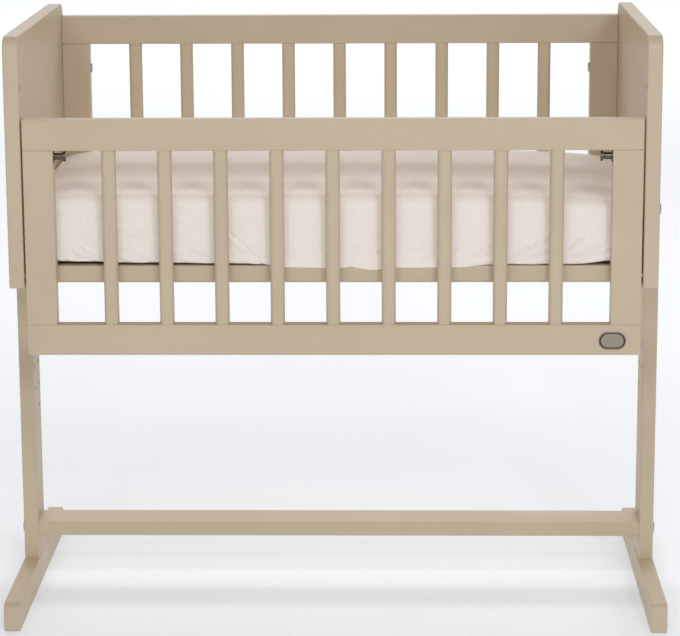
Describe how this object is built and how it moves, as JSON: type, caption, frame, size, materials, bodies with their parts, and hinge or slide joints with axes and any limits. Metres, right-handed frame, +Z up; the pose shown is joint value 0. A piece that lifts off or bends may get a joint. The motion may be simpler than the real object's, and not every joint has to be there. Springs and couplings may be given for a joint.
{
  "type": "bedside crib",
  "caption": "Small barred crib on a two-legged stand, with solid ends, a mattress and a front side that slides down so that it stands beside an adult bed.",
  "frame": {"origin": "on the floor under the middle of the crib, at the bottom centre of its box", "axes": "+X along the crib from the left end to the right end, -Y towards the front, where the sliding side is, +Z up"},
  "size_m": [0.899, 0.47, 0.806],
  "materials": {
    "painted_wood": "satin clay-coloured lacquer",
    "zinc_steel": "zinc plated",
    "latch_steel": "nickel plated, turned",
    "dowel_wood": "bare beech",
    "badge_metal": "satin, blank",
    "mattress_cover": "quilted cover over foam",
    "white_cotton": "woven cotton, matt"
  },
  "bodies": {
    "stand": {"leg_left": "painted_wood", "leg_right": "painted_wood", "foot_left": "painted_wood", "foot_right": "painted_wood", "foot_screws": "zinc_steel", "foot_dowels": "dowel_wood", "stretcher": "painted_wood", "stretcher_bolts": "zinc_steel", "stretcher_barrel_nuts": "zinc_steel", "height_bolts": "zinc_steel"},
    "crib": {"end_panel_left": "painted_wood", "end_panel_right": "painted_wood", "back_top_rail": "painted_wood", "back_bottom_rail": "painted_wood", "back_stile_left": "painted_wood", "back_stile_right": "painted_wood", "back_spindle_1": "painted_wood", "back_spindle_2": "painted_wood", "back_spindle_3": "painted_wood", "back_spindle_4": "painted_wood", "back_spindle_5": "painted_wood", "back_spindle_6": "painted_wood", "back_spindle_7": "painted_wood", "back_spindle_8": "painted_wood", "back_spindle_9": "painted_wood", "back_bolts": "zinc_steel", "back_inserts": "zinc_steel", "base_board": "painted_wood", "base_bolts": "zinc_steel", "base_barrel_nuts": "zinc_steel", "height_inserts": "zinc_steel", "mattress": "mattress_cover", "fitted_sheet": "white_cotton"},
    "drop_side": {"front_top_rail": "painted_wood", "front_bottom_rail": "painted_wood", "front_stile_left": "painted_wood", "front_stile_right": "painted_wood", "front_spindle_1": "painted_wood", "front_spindle_2": "painted_wood", "front_spindle_3": "painted_wood", "front_spindle_4": "painted_wood", "front_spindle_5": "painted_wood", "front_spindle_6": "painted_wood", "front_spindle_7": "painted_wood", "front_spindle_8": "painted_wood", "front_spindle_9": "painted_wood", "guide_pins": "zinc_steel", "latch_sleeves": "latch_steel", "badge": "badge_metal"},
    "latch_left": {"latch_pin_left": "latch_steel"},
    "latch_right": {"latch_pin_right": "latch_steel"}
  },
  "joints": [
    {"name": "height_setting", "type": "slide", "parent": "stand", "child": "crib", "axis": [0, 0, 1], "range_m": [-0.256, 0]},
    {"name": "side_slide", "type": "slide", "parent": "crib", "child": "drop_side", "axis": [0, 0, 1], "range_m": [0, 0.09]},
    {"name": "latch_left_slide", "type": "slide", "parent": "drop_side", "child": "latch_left", "axis": [-1, 0, 0], "range_m": [0, 0.01]},
    {"name": "latch_right_slide", "type": "slide", "parent": "drop_side", "child": "latch_right", "axis": [1, 0, 0], "range_m": [0, 0.01]}
  ]
}
